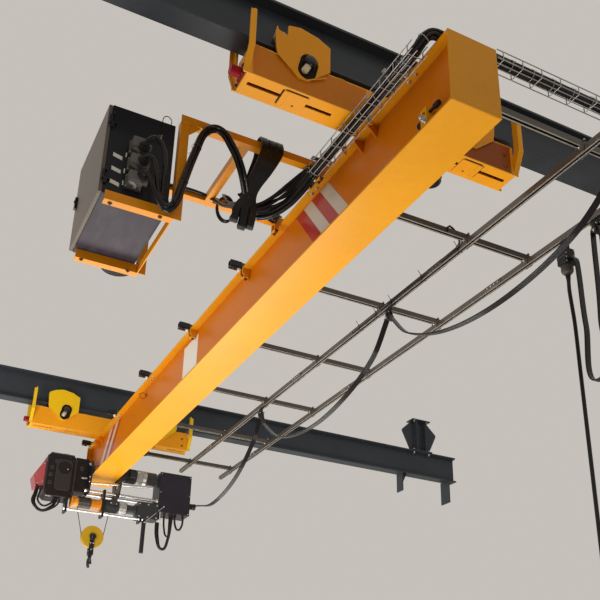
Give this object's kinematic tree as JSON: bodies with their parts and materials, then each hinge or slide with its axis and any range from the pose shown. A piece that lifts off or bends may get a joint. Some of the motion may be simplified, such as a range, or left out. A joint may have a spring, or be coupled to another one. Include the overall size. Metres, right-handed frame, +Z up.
{
  "type": "underslung bridge crane",
  "caption": "Underslung bridge crane: a box girder hangs from two I-beam runways and carries a rope hoist, a side cabinet, wire trays and cable festoons.",
  "frame": {"origin": "centre of the top face of the near right hanger plate, which is bolted up under the roof", "axes": "+X along the runways, +Y along the girder from its near end to its far end, +Z up"},
  "size_m": [7.1, 7.22, 4],
  "materials": {
    "crane_paint": "glossy orange-yellow paint",
    "track_paint": "satin blue-grey paint",
    "black_paint": "black powder coat",
    "door_paint": "pale powder coat in a soft light",
    "housing": "matt black housing",
    "red_cover": "satin red cover",
    "red_rubber": "satin red rubber",
    "zinc_rail": "rolled steel rail, dull zinc",
    "wire_steel": "bright zinc wire",
    "wheel_steel": "machined steel wheels",
    "motor_paint": "grey cast housing",
    "chrome_rod": "bright drawn bar",
    "drum_paint": "orange painted drum",
    "rope_steel": "greased wire rope",
    "sheave_paint": "yellow sheave",
    "hook_steel": "black forged hook",
    "cable_jacket": "black cable jacket"
  },
  "bodies": {
    "runway": {"track_near": "track_paint", "track_far": "track_paint", "track_hangers": "track_paint", "track_stops": "track_paint"},
    "bridge": {"girder_webs": "crane_paint", "girder_flanges": "crane_paint", "girder_end_plates": "crane_paint", "girder_stops": "crane_paint", "truck_near": "crane_paint", "truck_far": "crane_paint", "truck_cheeks": "crane_paint", "truck_wheels": "wheel_steel", "truck_guards": "crane_paint", "truck_buffers": "red_rubber", "truck_drives": "motor_paint", "cabinet_frame": "crane_paint", "cabinet_shell": "black_paint", "cabinet_plugs": "housing", "cabinet_beacon": "housing", "festoon_arms": "zinc_rail", "hoist_rail": "zinc_rail", "pendant_rail": "zinc_rail", "cable_trays": "wire_steel", "tray_cables": "cable_jacket", "cabinet_cable": "cable_jacket", "spare_cable_hank": "cable_jacket", "hoist_festoon_cable": "cable_jacket", "pendant_feed_cable": "cable_jacket"},
    "cabinet_door": {"cabinet_door": "door_paint"},
    "hoist": {"trolley_frame": "black_paint", "trolley_wheels": "wheel_steel", "tie_rods": "chrome_rod", "hoist_gearbox": "housing", "brake_box": "red_cover", "hoist_drum": "drum_paint", "hoist_motor": "motor_paint", "travel_motor": "motor_paint", "control_box": "black_paint", "hoist_cable_loops": "cable_jacket", "hoist_ropes": "rope_steel"},
    "hook_block": {"hook_sheave": "sheave_paint", "hook_cheeks": "black_paint"},
    "hook": {"hook": "hook_steel"},
    "festoon_saddle_1": {"festoon_saddle_1": "housing"},
    "festoon_saddle_2": {"festoon_saddle_2": "housing"},
    "pendant": {"pendant_box": "housing", "pendant_cable": "cable_jacket", "pendant_station": "housing"},
    "pendant_saddle_1": {"pendant_saddle_1": "housing"},
    "pendant_saddle_2": {"pendant_saddle_2": "housing"}
  },
  "joints": [
    {"name": "bridge_travel", "type": "slide", "parent": "runway", "child": "bridge", "axis": [1, 0, 0], "range_m": [-1.195, 3.005]},
    {"name": "hoist_travel", "type": "slide", "parent": "bridge", "child": "hoist", "axis": [0, 1, 0], "range_m": [-6.23, 0], "deforming": ["hoist_festoon_cable"]},
    {"name": "hook_lift", "type": "slide", "parent": "hoist", "child": "hook_block", "axis": [0, 0, 1], "range_m": [-2.4, 0.08], "deforming": ["hoist_ropes"]},
    {"name": "hook_swivel", "type": "hinge", "parent": "hook_block", "child": "hook", "pos_m": [-4.298, 5.91, -2.465], "axis": [0, 0, 1], "continuous": true},
    {"name": "cabinet_door_hinge", "type": "hinge", "parent": "bridge", "child": "cabinet_door", "pos_m": [-5.719, 0.463, -1.41], "axis": [0, 0, 1], "range_deg": [0, 115]},
    {"name": "festoon_slide_1", "type": "slide", "parent": "bridge", "child": "festoon_saddle_1", "axis": [0, 1, 0], "range_m": [-2.232, 0]},
    {"name": "festoon_slide_2", "type": "slide", "parent": "bridge", "child": "festoon_saddle_2", "axis": [0, 1, 0], "range_m": [-4.4916, 0]},
    {"name": "pendant_travel", "type": "slide", "parent": "bridge", "child": "pendant", "axis": [0, 1, 0], "range_m": [0, 6], "deforming": ["pendant_feed_cable"]},
    {"name": "pendant_slide_1", "type": "slide", "parent": "bridge", "child": "pendant_saddle_1", "axis": [0, 1, 0], "range_m": [0, 2.6356]},
    {"name": "pendant_slide_2", "type": "slide", "parent": "bridge", "child": "pendant_saddle_2", "axis": [0, 1, 0], "range_m": [0, 5.0032]}
  ],
  "couplings": [
    {"joint": "festoon_slide_1", "follows": "hoist_travel", "ratio": 0.3581},
    {"joint": "festoon_slide_2", "follows": "hoist_travel", "ratio": 0.7208},
    {"joint": "pendant_slide_1", "follows": "pendant_travel", "ratio": 0.4391},
    {"joint": "pendant_slide_2", "follows": "pendant_travel", "ratio": 0.8337}
  ]
}
